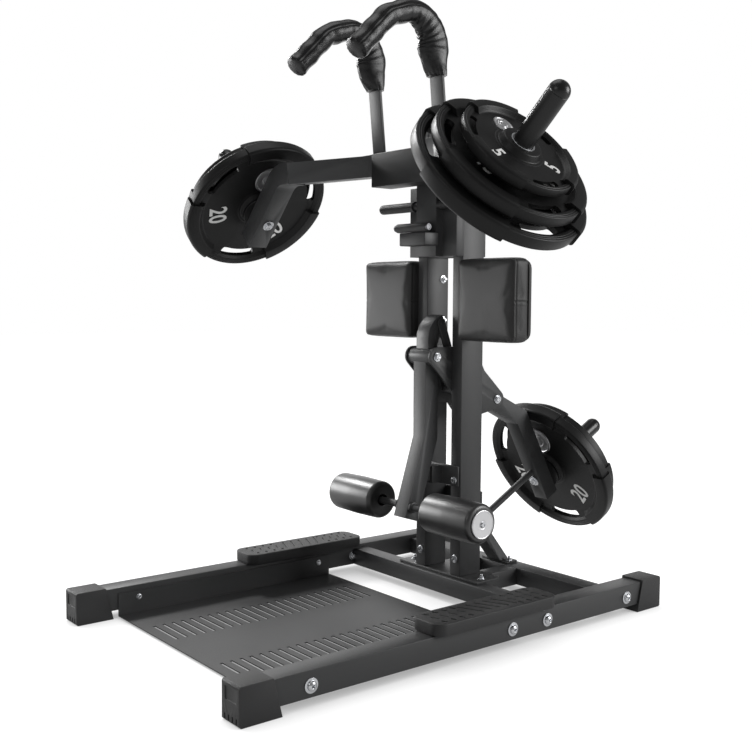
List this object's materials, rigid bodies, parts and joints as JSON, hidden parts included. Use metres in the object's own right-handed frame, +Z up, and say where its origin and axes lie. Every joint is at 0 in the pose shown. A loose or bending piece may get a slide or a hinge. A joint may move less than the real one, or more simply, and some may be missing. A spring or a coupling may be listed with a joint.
{
  "type": "squat machine",
  "caption": "Standing squat and leg curl machine with a slotted deck, twin column, thigh pads, sliding shoulder yoke and linked plate levers.",
  "frame": {"origin": "middle of the bounding box's underside, on the floor", "axes": "+Z up, +Y from the user's end to the column and the rear plates, +X to the right of a user who faces the column"},
  "size_m": [1.4266, 1.6215, 1.6126],
  "materials": {
    "powder_coat": "satin black powder coat",
    "pad_vinyl": "dark grey grained vinyl over foam",
    "plate_rubber": "iron weight plate with a matte black rubber coat",
    "black_plastic": "moulded black plastic",
    "bright_zinc": "bright zinc plated steel",
    "roller_foam": "black foam roller",
    "plywood": "pad board",
    "soft_rubber": "black rubber buffer"
  },
  "bodies": {
    "floor_frame": {"left_rail": "powder_coat", "right_rail": "powder_coat", "left_front_cap": "black_plastic", "left_rear_cap": "black_plastic", "right_front_cap": "black_plastic", "right_rear_cap": "black_plastic", "front_cross_beam": "powder_coat", "rear_cross_beam": "powder_coat", "left_base_spine": "powder_coat", "right_base_spine": "powder_coat", "column_base_plate": "powder_coat", "deck_plate": "powder_coat", "left_foot_block": "black_plastic", "right_foot_block": "black_plastic", "left_upright": "powder_coat", "right_upright": "powder_coat", "rear_brace": "powder_coat", "left_pivot_plate": "powder_coat", "right_pivot_plate": "powder_coat", "front_pivot_pin": "bright_zinc", "rear_pivot_pin": "bright_zinc", "stop_bracket": "powder_coat", "stop_bumper": "soft_rubber", "left_thigh_pad": "pad_vinyl", "left_pad_board": "plywood", "left_pad_bracket": "powder_coat", "right_thigh_pad": "pad_vinyl", "right_pad_board": "plywood", "right_pad_bracket": "powder_coat"},
    "carriage": {"carriage_frame": "powder_coat", "latch_box": "powder_coat", "yoke_collar": "powder_coat", "left_hand_peg": "black_plastic", "left_yoke_arm": "powder_coat", "left_horn": "powder_coat", "left_hook_bar": "powder_coat", "left_shoulder_pad": "pad_vinyl", "right_hand_peg": "black_plastic", "right_yoke_arm": "powder_coat", "right_horn": "powder_coat", "right_hook_bar": "powder_coat", "right_shoulder_pad": "pad_vinyl"},
    "latch": {"latch_handle": "black_plastic"},
    "curl_lever_group": {"curl_lever": "powder_coat", "roller_axle": "powder_coat", "left_roller_cap": "bright_zinc", "right_roller_cap": "bright_zinc"},
    "left_roller_body": {"left_roller": "roller_foam"},
    "right_roller_body": {"right_roller": "roller_foam"},
    "link": {"link_bars": "powder_coat"},
    "rear_lever_group": {"rear_lever": "powder_coat", "rear_horn": "powder_coat"},
    "rear_plate_inner_body": {"rear_plate_inner": "plate_rubber"},
    "rear_plate_outer_body": {"rear_plate_outer": "plate_rubber"},
    "left_plate_20_body": {"left_plate_20": "plate_rubber"},
    "left_plate_15_body": {"left_plate_15": "plate_rubber"},
    "left_plate_5_body": {"left_plate_5": "plate_rubber"},
    "right_plate_20_body": {"right_plate_20": "plate_rubber"},
    "right_plate_15_body": {"right_plate_15": "plate_rubber"},
    "right_plate_5_body": {"right_plate_5": "plate_rubber"}
  },
  "joints": [
    {"name": "carriage_slide", "type": "slide", "parent": "floor_frame", "child": "carriage", "axis": [0, 0, 1], "range_m": [0, 0.15]},
    {"name": "latch_pull", "type": "slide", "parent": "carriage", "child": "latch", "axis": [0, -1, 0], "range_m": [0, 0.012], "stiffness_N_per_m": 600, "springref_m": -0.006},
    {"name": "rear_lever_swing", "type": "hinge", "parent": "floor_frame", "child": "rear_lever_group", "pos_m": [0, 0.29318, 0.567], "axis": [1, 0, 0], "range_deg": [0, 67.5]},
    {"name": "leg_curl", "type": "hinge", "parent": "floor_frame", "child": "curl_lever_group", "pos_m": [0, 0.05718, 0.697], "axis": [-1, 0, 0], "range_deg": [0, 100.2]},
    {"name": "link_swing", "type": "hinge", "parent": "curl_lever_group", "child": "link", "pos_m": [0, 0.09218, 0.79], "axis": [1, 0, 0], "range_deg": [0, 99.2]},
    {"name": "left_roller_spin", "type": "hinge", "parent": "curl_lever_group", "child": "left_roller_body", "pos_m": [-0.2025, -0.00482, 0.281], "axis": [1, 0, 0], "continuous": true},
    {"name": "right_roller_spin", "type": "hinge", "parent": "curl_lever_group", "child": "right_roller_body", "pos_m": [0.2025, -0.00482, 0.281], "axis": [1, 0, 0], "continuous": true},
    {"name": "left_plate_20_slide", "type": "slide", "parent": "carriage", "child": "left_plate_20_body", "axis": [-0.7314, 0, 0.682], "range_m": [0, 0.3]},
    {"name": "left_plate_15_slide", "type": "slide", "parent": "left_plate_20_body", "child": "left_plate_15_body", "axis": [-0.7314, 0, 0.682], "range_m": [0, 0.25]},
    {"name": "left_plate_5_slide", "type": "slide", "parent": "left_plate_15_body", "child": "left_plate_5_body", "axis": [-0.7314, 0, 0.682], "range_m": [0, 0.2]},
    {"name": "right_plate_20_slide", "type": "slide", "parent": "carriage", "child": "right_plate_20_body", "axis": [0.7314, 0, 0.682], "range_m": [0, 0.3]},
    {"name": "right_plate_15_slide", "type": "slide", "parent": "right_plate_20_body", "child": "right_plate_15_body", "axis": [0.7314, 0, 0.682], "range_m": [0, 0.25]},
    {"name": "right_plate_5_slide", "type": "slide", "parent": "right_plate_15_body", "child": "right_plate_5_body", "axis": [0.7314, 0, 0.682], "range_m": [0, 0.2]},
    {"name": "rear_plate_inner_slide", "type": "slide", "parent": "rear_lever_group", "child": "rear_plate_inner_body", "axis": [0, 0.8746, 0.4848], "range_m": [0, 0.3]},
    {"name": "rear_plate_outer_slide", "type": "slide", "parent": "rear_plate_inner_body", "child": "rear_plate_outer_body", "axis": [0, 0.8746, 0.4848], "range_m": [0, 0.24]}
  ],
  "couplings": [
    {"joint": "leg_curl", "follows": "rear_lever_swing", "ratio": 1.4815},
    {"joint": "link_swing", "follows": "rear_lever_swing", "ratio": 1.4667}
  ]
}
